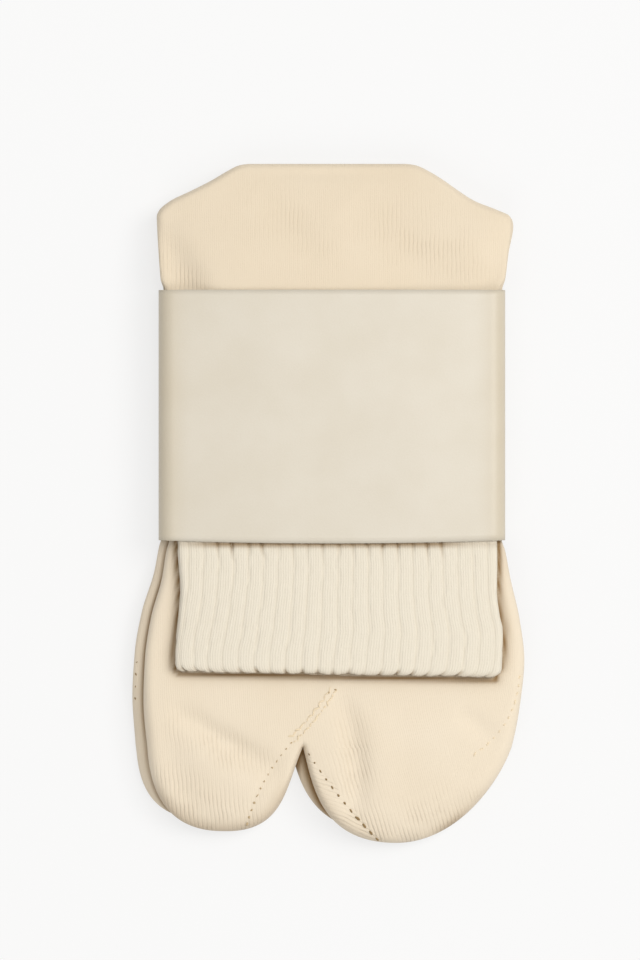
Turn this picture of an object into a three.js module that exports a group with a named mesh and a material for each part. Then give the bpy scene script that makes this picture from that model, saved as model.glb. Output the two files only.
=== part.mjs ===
// A pair of knitted tabi socks, folded and laid sole to sole, held by a plain paper band.
// Millimetres, +Z up. The pair lies flat: toes towards -Y, heel folds towards +Y, big toes at -X.
// The upper sock is the left one with its instep up, the lower is the right one with its instep down.
// Each sock is one hollow tube of cloth: closed toes, foot, turned heel, then the leg, which is folded back
// over the instep and ends in a ribbed cuff.
import * as THREE from "three";

// Driving sizes
const WALL = 1.2; // the knitted cloth
const AIR = 0.3; // between cuff and leg
const SOLES_APART = 0.5; // where the two socks lie on each other
const HEEL_END = 100; // the heel fold, along Y
const CORNER = 84.5; // where the leg bends over the instep, and the heel pocket starts
const SPLIT = { x: -7.2, y: -71.7 }; // the end of the slot between the toes
const LEG_END = 8; // where the plain leg meets the ribbed cuff
const MOUTH = -50.3; // the cuff's open end, at X = 0
const MOUTH_SLOPE = -0.018; // it lies a little askew
const TOE_EDGE = 5; // how far in from the outline the toes are rounded
const FOLD_EDGE = 2.2; // and how far in a flattened tube is
const HEEL_EDGE = 4.5; // and the heel pocket
const LEAST_EDGE = 0.7; // and anything, inside
const MERGE = 16; // the stretch over which the edges of foot and leg come together at the corner
const CROWN = { fall: 0.09, power: 2.5, middle: 1.3, half: 51 }; // the stack is lower at its sides
const LOWER_LEAN = 0.029; // the lower sock leans to the big toes, from near its heel on
const LOWER_LEAN_AT = 60;
const LOWER_LENGTH = 0.98; // and is folded a little shorter
const LOWER_HEEL = 99.3;

// The paper band, round the whole stack
const BAND = { bottom: -11.2, top: 62.6, left: -49.6, right: 52.2, height: 17.4, card: 0.5 };
const BAND_ROUND = { top: 5, foot: 3 };

// Outlines, seen from above: a row for each section across the foot, the leg, and the heel that both run into
const HEEL = [
  { at: CORNER, left: -50.0, right: 54.6 },
  { at: 88, left: -47.8, right: 46.2 },
  { at: 92, left: -40.6, right: 38.7 },
  { at: 97, left: -30.8, right: 31.0 },
  { at: 99.2, left: -26.6, right: 27.0 },
  { at: HEEL_END, left: -22.5, right: 22.5 },
];
const FOOT = [
  { at: SPLIT.y, left: -53.0, right: 54.5 },
  { at: -60, left: -54.1, right: 57.0 },
  { at: -46, left: -53.8, right: 57.9 },
  { at: -32, left: -51.3, right: 56.0 },
  { at: -16, left: -47.4, right: 52.4 },
  { at: -10, left: -46.4, right: 51.0 },
  { at: 63, left: -47.5, right: 51.0 },
  { at: 66, left: -48.4, right: 51.7 },
  { at: 74, left: -48.9, right: 53.0 },
  ...HEEL,
];
const LEG = [
  { at: MOUTH, left: -44.6, right: 50.9 },
  { at: -30, left: -44.3, right: 50.2 },
  { at: -11, left: -44.7, right: 49.7 },
  { at: 63, left: -47.0, right: 50.0 },
  { at: 66, left: -48.2, right: 51.5 },
  { at: 74, left: -48.9, right: 53.0 },
  ...HEEL,
];

// The two toes: each side of a toe is one curve from the foot to the tip
const point = (x, y) => new THREE.Vector2(x, y);
const side = (...points) => new THREE.CubicBezierCurve(...points.map((p) => point(...p)));
const BIG_TIP = [-30.5, -97.0];
const SMALL_TIP = [19.5, -100.0];
const BIG_TOE = {
  left: side([-53.0, SPLIT.y], [-52.0, -87.0], [-46.5, -97.0], BIG_TIP),
  right: side([SPLIT.x, SPLIT.y], [-11.0, -81.0], [-11.5, -97.0], BIG_TIP),
};
const SMALL_TOES = {
  left: side([SPLIT.x, SPLIT.y], [-5.5, -82.0], [-1.0, -99.5], SMALL_TIP),
  right: side([54.5, SPLIT.y], [51.5, -82.0], [38.0, -100.0], SMALL_TIP),
};

// Heights along the pack of the cloth's outer faces: for the lower sock its folded leg's back, that leg's
// front and the instep, then for the upper sock its sole, instep, and the folded leg's front and back.
const LIE = [
  { at: -100, lowBack: 0, lowFront: 0, lowInstep: 0, sole: 4.8, instep: 9.4, front: 0, back: 0 },
  { at: -88, lowBack: 0, lowFront: 0, lowInstep: 0, sole: 5.9, instep: 12.2, front: 0, back: 0 },
  { at: -74, lowBack: 0, lowFront: 0, lowInstep: 0, sole: 6.3, instep: 13.0, front: 0, back: 0 },
  { at: -64, lowBack: 0, lowFront: 0, lowInstep: 0.3, sole: 6.7, instep: 13.0, front: 0, back: 0 },
  { at: -50, lowBack: 0, lowFront: 4.2, lowInstep: 4.5, sole: 8.8, instep: 13.3, front: 13.6, back: 18.0 },
  { at: -40, lowBack: 0, lowFront: 4.4, lowInstep: 4.7, sole: 9.1, instep: 13.4, front: 13.7, back: 18.1 },
  { at: -25, lowBack: 0, lowFront: 4.3, lowInstep: 4.6, sole: 9.0, instep: 13.3, front: 13.6, back: 17.8 },
  { at: -12, lowBack: 0.8, lowFront: 4.5, lowInstep: 4.8, sole: 8.9, instep: 12.6, front: 12.9, back: 16.6 },
  { at: 63, lowBack: 0.8, lowFront: 4.5, lowInstep: 4.8, sole: 8.9, instep: 12.6, front: 12.9, back: 16.6 },
  { at: 70, lowBack: 0, lowFront: 4.1, lowInstep: 4.4, sole: 8.6, instep: 12.4, front: 12.7, back: 16.2 },
  { at: 78, lowBack: 0, lowFront: 3.7, lowInstep: 4.0, sole: 7.7, instep: 11.5, front: 11.8, back: 15.1 },
  { at: CORNER, lowBack: 0, lowFront: 3.2, lowInstep: 3.5, sole: 6.8, instep: 10.1, front: 10.4, back: 13.6 },
  { at: 92, lowBack: 0, lowFront: 3.1, lowInstep: 3.4, sole: 6.1, instep: 9, front: 9.3, back: 11.8 },
  { at: HEEL_END, lowBack: 0, lowFront: 3, lowInstep: 3.3, sole: 5.6, instep: 8.4, front: 8.7, back: 10.4 },
];

// Where the rings of cloth are taken: along Y, along each toe, and across each toe's share of the width
const ROWS = {
  foot: [SPLIT.y, -64, -57, -50, -40, -25, -11, 8, 35, 62, 70, 78, 82, CORNER],
  heel: [CORNER, 88, 92, 96, 98.6, 99.6, HEEL_END],
  leg: [CORNER, 82, 78, 70, 62, 35, LEG_END],
  cuff: [LEG_END - AIR, -11, -25, -40, -47, MOUTH],
};
const TOE_STEPS = 7;
const TOE_CROWDING = 1.3; // the rings lie closer towards the tip
const ACROSS = {
  big: [0, 0.035, 0.14, 0.5, 0.86, 0.965, 1],
  small: [0, 0.03, 0.11, 0.36, 0.64, 0.89, 0.97, 1],
};

const mix = (a, b, t) => a + (b - a) * t;
const clamp = (t) => Math.min(1, Math.max(0, t));
const ease = (t) => clamp(t) ** 2 * (3 - 2 * clamp(t));

// One column of a table at any place between its rows, on a smooth curve that never overshoots.
function column(table, name, at) {
  const last = table.length - 1;
  const slope = (k) => (table[k + 1][name] - table[k][name]) / (table[k + 1].at - table[k].at);
  const tangent = (k) => {
    if (k === 0 || k === last) return slope(Math.min(k, last - 1));
    const [a, b] = [slope(k - 1), slope(k)];
    return a * b <= 0 ? 0 : (2 * a * b) / (a + b);
  };
  const above = table.findIndex((row) => row.at > at);
  const i = above < 0 ? last - 1 : Math.max(0, above - 1);
  const step = table[i + 1].at - table[i].at;
  const t = clamp((at - table[i].at) / step);
  const [a, b] = [table[i][name], table[i + 1][name]];
  const bend = tangent(i) * t * (1 - t) ** 2 - tangent(i + 1) * t * t * (1 - t);
  return a * (1 + 2 * t) * (1 - t) ** 2 + b * t * t * (3 - 2 * t) + step * bend;
}

const STEP = 0.1; // for slopes
const MOST_SIDEWAYS = 3; // thicknesses that a wall may take up across, where its outline runs nearly across too
const spread = (from, to, shares) => shares.map((t) => from.clone().lerp(to, t));

// A ring's plan: the outline at this place, moved in square to itself, and the points between its two ends.
function ringPlan(table, at, inset) {
  const end = (name, inward) => {
    const slope = (column(table, name, at + STEP) - column(table, name, at - STEP)) / (2 * STEP);
    return point(column(table, name, at) + inward * inset * Math.min(MOST_SIDEWAYS, Math.hypot(1, slope)), at);
  };
  const [left, right] = [end("left", 1), end("right", -1)];
  const split = left.clone().lerp(right, (SPLIT.x - FOOT[0].left) / (FOOT[0].right - FOOT[0].left));
  return [...spread(left, split, ACROSS.big), ...spread(split, right, ACROSS.small).slice(1)];
}

// A toe's plan: row 0 is its share of the foot's last ring, and the last row is its tip.
function toePlan(toe, shares, firstRow, inset) {
  const end = (curve, t, inward) => {
    const along = curve.getTangent(t);
    return curve.getPoint(t).addScaledVector(point(along.y, -along.x), inward * inset);
  };
  const rows = Array.from({ length: TOE_STEPS - 1 }, (_, i) => {
    const t = 1 - (1 - (i + 1) / TOE_STEPS) ** TOE_CROWDING;
    return spread(end(toe.left, t, -1), end(toe.right, t, 1), shares);
  });
  const tip = toe.left.v3.clone().add(point(0, inset));
  return [firstRow, ...rows, shares.map(() => tip)];
}

// The plans of all the rings of one skin of cloth, the outer one or the inner one, WALL further in
function plansOf(inset) {
  const inner = (y) => {
    if (y === SPLIT.y) return y + inset;
    return y < CORNER ? y : mix(CORNER + inset, HEEL_END - inset, (y - CORNER) / (HEEL_END - CORNER));
  };
  const rings = (table, rows) => rows.map((y) => ringPlan(table, inner(y), inset));
  const foot = rings(FOOT, ROWS.foot);
  return {
    foot,
    heel: rings(FOOT, ROWS.heel),
    leg: rings(LEG, ROWS.leg),
    cuff: ROWS.cuff.map((y) => ringPlan(LEG, y, inset)),
    big: toePlan(BIG_TOE, ACROSS.big, foot[0].slice(0, ACROSS.big.length), inset),
    small: toePlan(SMALL_TOES, ACROSS.small, foot[0].slice(ACROSS.big.length - 1), inset),
  };
}

// The lines that layers of cloth close on, each as short straight pieces with the round of the cloth there
function creasesOf(plans, inset) {
  const line = (points, round) =>
    points.slice(1).map((to, i) => ({ from: points[i], to, round: Math.max(round - inset, LEAST_EDGE) }));
  const sides = (rows, round) => [0, -1].flatMap((k) => line(rows.map((row) => row.at(k)), round));
  const shared = [
    ...sides(plans.big, TOE_EDGE), ...sides(plans.small, TOE_EDGE),
    ...sides(plans.heel, HEEL_EDGE), ...line(plans.heel.at(-1), HEEL_EDGE),
  ];
  const web = line(plans.foot.at(-1), FOLD_EDGE);
  const foot = [...shared, ...sides(plans.foot, FOLD_EDGE)];
  const leg = [...shared, ...sides([...plans.leg, ...plans.cuff], FOLD_EDGE)];
  return { sole: foot, instep: [...foot, ...web], front: [...leg, ...web], back: leg };
}

// How full a layer of cloth stands at a place: 0 on a crease, and 1 from the crease's round inwards.
function fullness(place, creases) {
  const share = ({ from, to, round }) => {
    const along = to.clone().sub(from);
    const t = clamp(place.clone().sub(from).dot(along) / Math.max(along.lengthSq(), 1e-9));
    const away = place.distanceTo(from.clone().addScaledVector(along, t));
    return Math.sqrt(1 - (1 - clamp(away / round)) ** 2);
  };
  return Math.min(...creases.map(share));
}

const crown = (x) => 1 - CROWN.fall * clamp(Math.abs(x - CROWN.middle) / CROWN.half) ** CROWN.power;

// The upper or the lower sock: where its plan lies in the pack, and how high its layers are.
class Sock {
  constructor(upper) {
    this.upper = upper;
    this.names = upper
      ? { sole: "sole", instep: "instep", front: "front", back: "back" }
      : { sole: "sole", instep: "lowInstep", front: "lowFront", back: "lowBack" };
  }

  place(plan) {
    if (this.upper) return plan;
    const x = plan.x + LOWER_LEAN * (plan.y - LOWER_LEAN_AT);
    return point(x, LOWER_HEEL + LOWER_LENGTH * (plan.y - HEEL_END));
  }

  // A layer's outer face. The two soles lie on each other.
  face(layer, y) {
    return column(LIE, this.names[layer], y) - (layer === "sole" && !this.upper ? SOLES_APART : 0);
  }

  // The height of the edge that two layers share. Towards the corner, foot and leg come to share one.
  edge(layer, plan, y) {
    const own = layer === "sole" || layer === "instep" ? ["sole", "instep"] : ["front", "back"];
    const [tube, whole] = [own, ["sole", "back"]].map(([a, b]) => (this.face(a, y) + this.face(b, y)) / 2);
    return mix(tube, whole, ease((plan.y - CORNER + MERGE) / MERGE));
  }

  // One layer of one skin, as rows of vertices
  rise(plans, layer, inset, creases) {
    return plans.map((row) =>
      row.map((plan) => {
        const p = this.place(plan);
        const edge = this.edge(layer, plan, p.y);
        const face = this.face(layer, p.y);
        const z = mix(edge, face - Math.sign(face - edge) * inset, fullness(plan, creases[layer]));
        return new THREE.Vector3(p.x, p.y, z * crown(p.x));
      }),
    );
  }
}

// A closed surface, gathered from sheets that share the vertices on their borders.
class Skin {
  constructor() {
    this.corners = [];
  }

  // Rows of vertices, each row joined to the next, wound so that the whole sheet faces the way given
  sheet(rows, facing) {
    const triangles = [];
    for (let j = 0; j + 1 < rows.length; j++) {
      for (let i = 0; i + 1 < rows[j].length; i++) {
        const [a, b, c, d] = [rows[j][i], rows[j][i + 1], rows[j + 1][i + 1], rows[j + 1][i]];
        const shortOne = a.distanceTo(c) < b.distanceTo(d);
        triangles.push(...(shortOne ? [[a, b, c], [a, c, d]] : [[a, b, d], [b, c, d]]));
      }
    }
    const shortest = ([a, b, c]) => Math.min(a.distanceTo(b), b.distanceTo(c), c.distanceTo(a));
    const whole = triangles.filter((triangle) => shortest(triangle) > 1e-6);
    const normal = new THREE.Vector3();
    for (const [a, b, c] of whole) normal.add(b.clone().sub(a).cross(c.clone().sub(a)));
    const turned = normal.dot(facing) < 0;
    this.corners.push(...whole.flatMap(([a, b, c]) => (turned ? [a, c, b] : [a, b, c])));
  }

  geometry() {
    return new THREE.BufferGeometry().setFromPoints(this.corners);
  }
}

const UP = new THREE.Vector3(0, 0, 1);
const DOWN = new THREE.Vector3(0, 0, -1);
const TO_HEEL = new THREE.Vector3(0, 1, 0);
const TO_TOES = new THREE.Vector3(0, -1, 0);
const SKINS = [0, WALL].map((inset) => {
  const plans = plansOf(inset);
  return { inset, plans, creases: creasesOf(plans, inset) };
});

// Both skins of one sheet of cloth, the outer one facing the way given. Returns them, to close its ends with.
function cloth(skin, sock, part, layer, facing) {
  return SKINS.map(({ inset, plans, creases }) => {
    const rows = sock.rise(plans[part], layer, inset, creases);
    skin.sheet(rows, inset === 0 ? facing : facing.clone().negate());
    return rows;
  });
}

// Foot, heel and leg, knitted as one tube
function bodyGeometry(sock) {
  const skin = new Skin();
  const [out, back] = sock.upper ? [UP, DOWN] : [DOWN, UP];
  for (const part of ["foot", "big", "small"]) {
    cloth(skin, sock, part, "instep", out);
    cloth(skin, sock, part, "sole", back);
  }
  cloth(skin, sock, "heel", "sole", back);
  cloth(skin, sock, "heel", "back", out);
  for (const [layer, facing] of [["front", back], ["back", out]]) {
    const [outer, inner] = cloth(skin, sock, "leg", layer, facing);
    skin.sheet([outer.at(-1), inner.at(-1)], TO_TOES);
  }
  return skin.geometry();
}

// The ribbed cuff, a flattened tube that is open at its end
function cuffGeometry(sock) {
  const skin = new Skin();
  const [out, back] = sock.upper ? [UP, DOWN] : [DOWN, UP];
  for (const [layer, facing] of [["front", back], ["back", out]]) {
    const [outer, inner] = cloth(skin, sock, "cuff", layer, facing);
    skin.sheet([outer[0], inner[0]], TO_HEEL);
    skin.sheet([outer.at(-1), inner.at(-1)], TO_TOES);
  }
  return skin.geometry();
}

// The band's section, seen from the toes: flat on the ground, with rounded shoulders and a slight crown
function bandSection() {
  const { left, right, height } = BAND;
  const { top, foot } = BAND_ROUND;
  const over = (x) => height * crown(x);
  const [leftTop, rightTop] = [over(left + top), over(right - top)];
  const pull = top * 0.4; // how near the curve's handles come to the corner
  const path = new THREE.Path().moveTo(left + foot, 0).lineTo(right - foot, 0);
  path.quadraticCurveTo(right, 0, right, foot);
  path.lineTo(right, rightTop - top);
  path.bezierCurveTo(right, rightTop - pull, right - pull, rightTop, right - top, rightTop);
  for (const t of [0.1, 0.25, 0.5, 0.75, 0.9]) {
    const x = mix(right - top, left + top, t);
    path.lineTo(x, over(x));
  }
  path.lineTo(left + top, leftTop);
  path.bezierCurveTo(left + pull, leftTop, left, leftTop - pull, left, leftTop - top);
  path.lineTo(left, foot);
  path.quadraticCurveTo(left, 0, left + foot, 0);
  return path.getPoints(5).slice(0, -1);
}

function bandGeometry() {
  const outside = bandSection();
  const next = (i, step) => outside[(i + step + outside.length) % outside.length];
  const inside = outside.map((p, i) => {
    const along = next(i, 1).clone().sub(next(i, -1)).normalize();
    return p.clone().add(point(-along.y, along.x).multiplyScalar(BAND.card));
  });
  const ring = (section, y) => [...section, section[0]].map((p) => new THREE.Vector3(p.x, y, p.y));
  const [outer, inner] = [outside, inside].map((s) => [BAND.bottom, BAND.top].map((y) => ring(s, y)));
  const skin = new Skin();
  for (let i = 0; i < outside.length; i++) {
    const pick = (ringPoints) => ringPoints.slice(i, i + 2);
    const outwards = outer[0][i].clone().sub(inner[0][i]);
    skin.sheet(outer.map(pick), outwards);
    skin.sheet(inner.map(pick), outwards.clone().negate());
    skin.sheet([pick(outer[0]), pick(inner[0])], TO_TOES);
    skin.sheet([pick(outer[1]), pick(inner[1])], TO_HEEL);
  }
  return skin.geometry();
}

const KNIT = new THREE.MeshStandardMaterial({ color: 0xeee0c8, roughness: 0.95, metalness: 0 });
const RIB = new THREE.MeshStandardMaterial({ color: 0xefe6d2, roughness: 0.95, metalness: 0 });
const CARD = new THREE.MeshStandardMaterial({ color: 0xe4dac8, roughness: 0.55, metalness: 0 });

function mesh(name, geometry, material) {
  const made = new THREE.Mesh(geometry, material.clone());
  made.name = name;
  return made;
}

const pair = new THREE.Group();
for (const [name, sock] of [["left", new Sock(true)], ["right", new Sock(false)]]) {
  pair.add(mesh(name + "_sock", bodyGeometry(sock), KNIT));
  pair.add(mesh(name + "_cuff", cuffGeometry(sock), RIB));
}
pair.add(mesh("paper_band", bandGeometry(), CARD));

// The origin is on the ground under the middle of the pair.
const box = new THREE.Box3().setFromObject(pair);
const middle = box.getCenter(new THREE.Vector3());
pair.position.set(-middle.x, -middle.y, -box.min.z);

const part = new THREE.Group();
part.add(pair);
export default part;
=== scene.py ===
import math

import bmesh
import bpy
import numpy as np
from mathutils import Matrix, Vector


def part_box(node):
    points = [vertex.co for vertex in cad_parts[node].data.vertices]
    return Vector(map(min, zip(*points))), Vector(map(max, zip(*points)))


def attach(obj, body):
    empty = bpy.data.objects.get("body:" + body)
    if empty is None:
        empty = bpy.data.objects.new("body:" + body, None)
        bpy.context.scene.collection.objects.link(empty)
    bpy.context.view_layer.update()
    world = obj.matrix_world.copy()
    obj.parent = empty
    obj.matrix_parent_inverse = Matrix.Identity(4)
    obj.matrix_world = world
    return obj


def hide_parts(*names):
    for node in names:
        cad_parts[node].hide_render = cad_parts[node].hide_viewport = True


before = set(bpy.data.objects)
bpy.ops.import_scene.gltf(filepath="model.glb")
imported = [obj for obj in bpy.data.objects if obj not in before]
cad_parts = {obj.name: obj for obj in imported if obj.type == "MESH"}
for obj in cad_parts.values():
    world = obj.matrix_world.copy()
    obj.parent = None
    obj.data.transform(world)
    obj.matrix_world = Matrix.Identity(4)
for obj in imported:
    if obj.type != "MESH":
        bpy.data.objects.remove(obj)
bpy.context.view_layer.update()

# A pair of folded cream tabi socks, sole to sole, in a plain paper band. They lie flat: toes towards -Y,
# heel folds towards +Y, big toes at -X. Each sock is one knitted tube: closed toes, foot, heel, then the leg,
# folded back over the instep, and the ribbed cuff. Sizes are in millimetres where a name or comment doesn't
# say otherwise, and MM brings them to metres.

MM = 0.001

# ---------------------------------------------------------------- camera
# Straight above the pair, far off with a long lens, so that the sides hardly show. The picture stands
# upright, with its long side along the socks.

VIEW_HEIGHT = 1.6  # metres above the cloth
FIELD = 0.2816  # metres that the picture's long side takes in, at the cloth
AIM = Vector((-0.00235, 0.0069, 0.013))  # metres


def shown(name, data):
    """Puts an object that holds this data in the scene."""
    made = bpy.data.objects.new(name, data)
    bpy.context.collection.objects.link(made)
    return made


camera_data = bpy.data.cameras.new("camera")
camera_data.lens = camera_data.sensor_width * VIEW_HEIGHT / FIELD
camera_data.clip_end = 20  # metres
camera = shown("camera", camera_data)
camera.location = AIM + Vector((0, 0, VIEW_HEIGHT))
bpy.context.scene.camera = camera

# ---------------------------------------------------------------- floor and light
# A white light table in a bright room, so that shadows on it are faint, a large soft window light from the
# upper right, a smaller one overhead, and a fill from the toes' side. Places and sizes are in metres.

ROOM_LIGHT = 0.52
ROOM_COLOUR = (1, 0.992, 0.98, 1)
LAMP_COLOUR = (1, 0.985, 0.96)
WINDOW = {"place": (1.5, 0.7, 2.2), "size": 1.3, "power": 40.0}
CEILING = {"place": (0.36, 0.34, 2.1), "size": 0.6, "power": 10.0}
FILL = {"place": (-0.5, -1.8, 2.2), "size": 1.8, "power": 16.0}
TABLE_GLOW = 0.7  # the table's own share of its brightness, lit through from below
FLOOR_HALF = 3.0  # metres

# Sockets of the colour mixer, the attribute and the coordinates that have no name of their own
MIX_FIRST, MIX_SECOND, MIX_RESULT = 6, 7, 2
ATTRIBUTE_NUMBER = 2
OBJECT_PLACE = 3


class Number:
    """A number that varies over a finish. Arithmetic on it becomes a part of the finish."""

    def __init__(self, finish, socket):
        self.finish = finish
        self.socket = socket

    def math(self, operation, *terms):
        return self.finish.node("ShaderNodeMath", {"operation": operation}, dict(enumerate(terms)))

    def __add__(self, other):
        return self.math("ADD", self, other)

    def __mul__(self, other):
        return self.math("MULTIPLY", self, other)

    def __sub__(self, other):
        return self.math("SUBTRACT", self, other)

    def __rsub__(self, other):
        return self.math("SUBTRACT", other, self)

    def __truediv__(self, other):
        return self.math("DIVIDE", self, other)

    def __pow__(self, other):
        return self.math("POWER", self, other)

    def __abs__(self):
        return self.math("ABSOLUTE", self)

    __radd__, __rmul__ = __add__, __mul__

    def wrapped(self):
        return self.math("FRACT", self)

    def axis(self, number):
        """One axis of a place: 0, 1 or 2."""
        return self.finish.node("ShaderNodeSeparateXYZ", {}, {"Vector": self}, number)

    def eased(self, low, high):
        """0 below low, 1 above high, and smooth between."""
        settings = {"interpolation_type": "SMOOTHSTEP", "clamp": True}
        sockets = {"Value": self, "From Min": low, "From Max": high}
        return self.finish.node("ShaderNodeMapRange", settings, sockets)


class Finish:
    """A material with one Principled shader."""

    def __init__(self, name, **uniform):
        self.material = bpy.data.materials.new(name)
        self.material.use_nodes = True
        self.tree = self.material.node_tree
        self.shader = self.tree.nodes["Principled BSDF"]
        for socket, value in uniform.items():
            self.shader.inputs[socket.replace("_", " ")].default_value = value

    def node(self, kind, settings, sockets, output=0):
        """A node of this kind, with its settings, then its sockets' values or links. Gives its output."""
        made = self.tree.nodes.new(kind)
        for name, value in settings.items():
            setattr(made, name, value)
        for name, value in sockets.items():
            if isinstance(value, Number):
                self.tree.links.new(value.socket, made.inputs[name])
            else:
                made.inputs[name].default_value = value
        return Number(self, made.outputs[output])

    def noise(self, place, size, detail=2.0):
        """Even noise from 0 to 1, with patches of about this size, in the place's own unit."""
        sockets = {"Vector": place, "Scale": 1 / size, "Detail": detail}
        return self.node("ShaderNodeTexNoise", {}, sockets)

    def blend(self, share, first, second):
        """From the first colour to the second."""
        sockets = {"Factor": share, MIX_FIRST: first, MIX_SECOND: second}
        return self.node("ShaderNodeMix", {"data_type": "RGBA"}, sockets, MIX_RESULT)

    def measure(self):
        """The place on the cloth or card itself, from its UV map."""
        return self.node("ShaderNodeUVMap", {"uv_map": "measure"}, {})

    def mark(self, name):
        """A mark that the mesh carries, from 0 to 1."""
        return self.node("ShaderNodeAttribute", {"attribute_name": name}, {}, ATTRIBUTE_NUMBER)

    def place(self):
        """The place in the object's own frame, in metres."""
        return self.node("ShaderNodeTexCoord", {}, {}, OBJECT_PLACE)

    def feed(self, socket, value):
        self.tree.links.new(value.socket, self.shader.inputs[socket])

    def raise_by(self, height, reach, strength=1.0):
        """Lets the light see this height, from 0 to 1, as a relief of this many metres."""
        sockets = {"Height": height, "Distance": reach, "Strength": strength}
        self.feed("Normal", self.node("ShaderNodeBump", {}, sockets))


def colour(*levels):
    """A colour as a screen shows it, from 0 to 255, as the shaders want it."""
    return (*((c / 255 / 12.92) if c < 10.3 else ((c / 255 + 0.055) / 1.055) ** 2.4 for c in levels), 1)


scene = bpy.context.scene
scene.view_settings.view_transform = "Standard"
world = bpy.data.worlds.new("room")
scene.world = world
world.use_nodes = True
background = world.node_tree.nodes["Background"]
background.inputs["Color"].default_value = ROOM_COLOUR
background.inputs["Strength"].default_value = ROOM_LIGHT

for name, light in (("window", WINDOW), ("ceiling", CEILING), ("fill", FILL)):
    lamp = bpy.data.lights.new(name, "AREA")
    lamp.shape = "SQUARE"
    lamp.size = light["size"]
    lamp.energy = light["power"]
    lamp.color = LAMP_COLOUR
    lamp_object = shown(name, lamp)
    lamp_object.location = light["place"]
    lamp_object.rotation_euler = (-Vector(light["place"])).to_track_quat("-Z", "Y").to_euler()

floor_mesh = bpy.data.meshes.new("floor")
corners = [(-1, -1), (1, -1), (1, 1), (-1, 1)]
floor_mesh.from_pydata([(x * FLOOR_HALF, y * FLOOR_HALF, 0) for x, y in corners], [], [(0, 1, 2, 3)])
floor = shown("floor", floor_mesh)
table = Finish("white_table", Base_Color=(0.2, 0.2, 0.2, 1), Roughness=0.8, Specular_IOR_Level=0.1,
               Emission_Color=(1, 1, 1, 1), Emission_Strength=TABLE_GLOW)
floor.data.materials.append(table.material)

# ---------------------------------------------------------------- the two socks
# Fine cotton, plain knitted on a small circular machine as one tube and steamed flat. The wales, the columns
# of stitches, run along the foot. The lower sock is the same, turned over, and leans a little to the side.

WALE = 1.25  # from one column of stitches to the next
COURSE = 1.0  # from one row of stitches to the next
WALL = 1.1  # the cloth's thickness
THINNED = 3.0  # how many times its shortest edge a small face's wall may be thick
HEEL_END = 100.0
CORNER = 83.6  # where foot and folded leg part, at the heel's corners
LEG_END = 8.0  # where the leg changes into the cuff, under the band
BAND_LOW = -11.2
BAND_HIGH = 62.6
BAND_LEFT = -49.6
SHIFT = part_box("paper_band")[0].x / MM - BAND_LEFT  # from the socks' own middle to the frame's

# The upper sock's outline from above, and that of its folded leg and cuff, which ends in the heel's last rows
OUTLINE = {
    "y": [-84, -78, -71.7, -58, -46, -34, -22, -14, -10, 63, 66, 74,
          82, 84.4, 86.2, 89, 92, 95, 98, 99.7, 100],
    "left": [-50.5, -52.1, -53, -54.1, -53.7, -52, -48.7, -47.4, -46.4, -48.2, -49.1, -49.6,
             -50.1, -50.2, -49.5, -46.3, -40.2, -34.3, -29.2, -25.6, -23],
    "right": [47.4, 51.4, 54.2, 56.8, 57.9, 56.5, 53.8, 52.3, 51.1, 51.4, 52.2, 53,
              54.2, 53.7, 50.2, 43.3, 38.6, 34.4, 29.5, 25.6, 23],
}
HEEL_ROW = OUTLINE["y"].index(84.4)
LEG_OUTLINE = {
    "y": [-49.9, -48.4, -45, -38, -32, -25, -17, -11, 63, 66, 74, 82.0],
    "left": [-43.4, -44.6, -44.9, -44.2, -43.6, -43.2, -43.8, -44.2, -47.7, -48.9, -49.6, -50.1],
    "right": [49.2, 50.7, 51.3, 51.7, 50.6, 49.9, 50.1, 50, 50.6, 52, 53, 54.2],
}
# Each toe has a curve on either side: two points that pull it, and the toe's tip. Both start at the split.
BIG_TIP = (-31, -96.5)
SMALL_TIP = (19.5, -100)
UPPER_TOES = {
    "split": (-7.2, -71.7),
    "big": (((-52.3, -84.5), (-47.5, -96.5), BIG_TIP), ((-12.4, -83), (-12.3, -97.2), BIG_TIP)),
    "small": (((-4.4, -82), (-2.6, -99.6), SMALL_TIP), ((50.5, -82.5), (37.5, -100.5), SMALL_TIP)),
}
LOWER_TOES = {
    "split": (-6.5, -76.6),
    "big": (((-51, -88), (-46, -96.8), BIG_TIP), ((-10.6, -85), (-12, -96.8), BIG_TIP)),
    "small": (((-4.1, -85.6), (0.6, -99.8), SMALL_TIP), ((47.3, -87), (36, -100.4), SMALL_TIP)),
}
# Heights of the cloth's outer faces, along the pack
UPPER = {
    "y": [-100, -90, -74, -64, -52, -44, -25, -12, 63, 70, 78, CORNER, 92, HEEL_END],
    "sole": [4.8, 5.9, 6.4, 6.9, 8.6, 8.9, 8.9, 8.9, 8.9, 8.6, 7.7, 6.9, 6.1, 5.6],
    "instep": [9.4, 12.4, 13.4, 13.8, 13.6, 13.2, 13.2, 12.5, 12.5, 12.3, 11.6, 10.5, 9.2, 8.4],
    "front": [0, 0, 0, 0, 13.8, 13.4, 13.4, 12.8, 12.8, 12.6, 11.9, 10.5, 9.4, 8.7],
    "back": [0, 0, 0, 0, 17.2, 17.9, 17.7, 16.4, 16.6, 16.9, 15.7, 14.2, 12.2, 10.2],
}
LOWER = {
    "y": UPPER["y"],
    "sole": [h - 0.4 for h in UPPER["sole"]],
    "instep": [0, 0, 0, 0.3, 4.2, 4.6, 4.6, 4.8, 4.8, 4.5, 4.0, 3.5, 3.4, 3.3],
    "front": [0, 0, 0, 0, 4.0, 4.4, 4.4, 4.6, 4.6, 4.3, 3.8, 3.5, 3.2, 3.1],
    "back": [0, 0, 0, 0, 0.15, 0.05, 0.05, 0.9, 0.9, 0.1, 0.05, 0.05, 0.05, 0.1],
}
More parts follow.
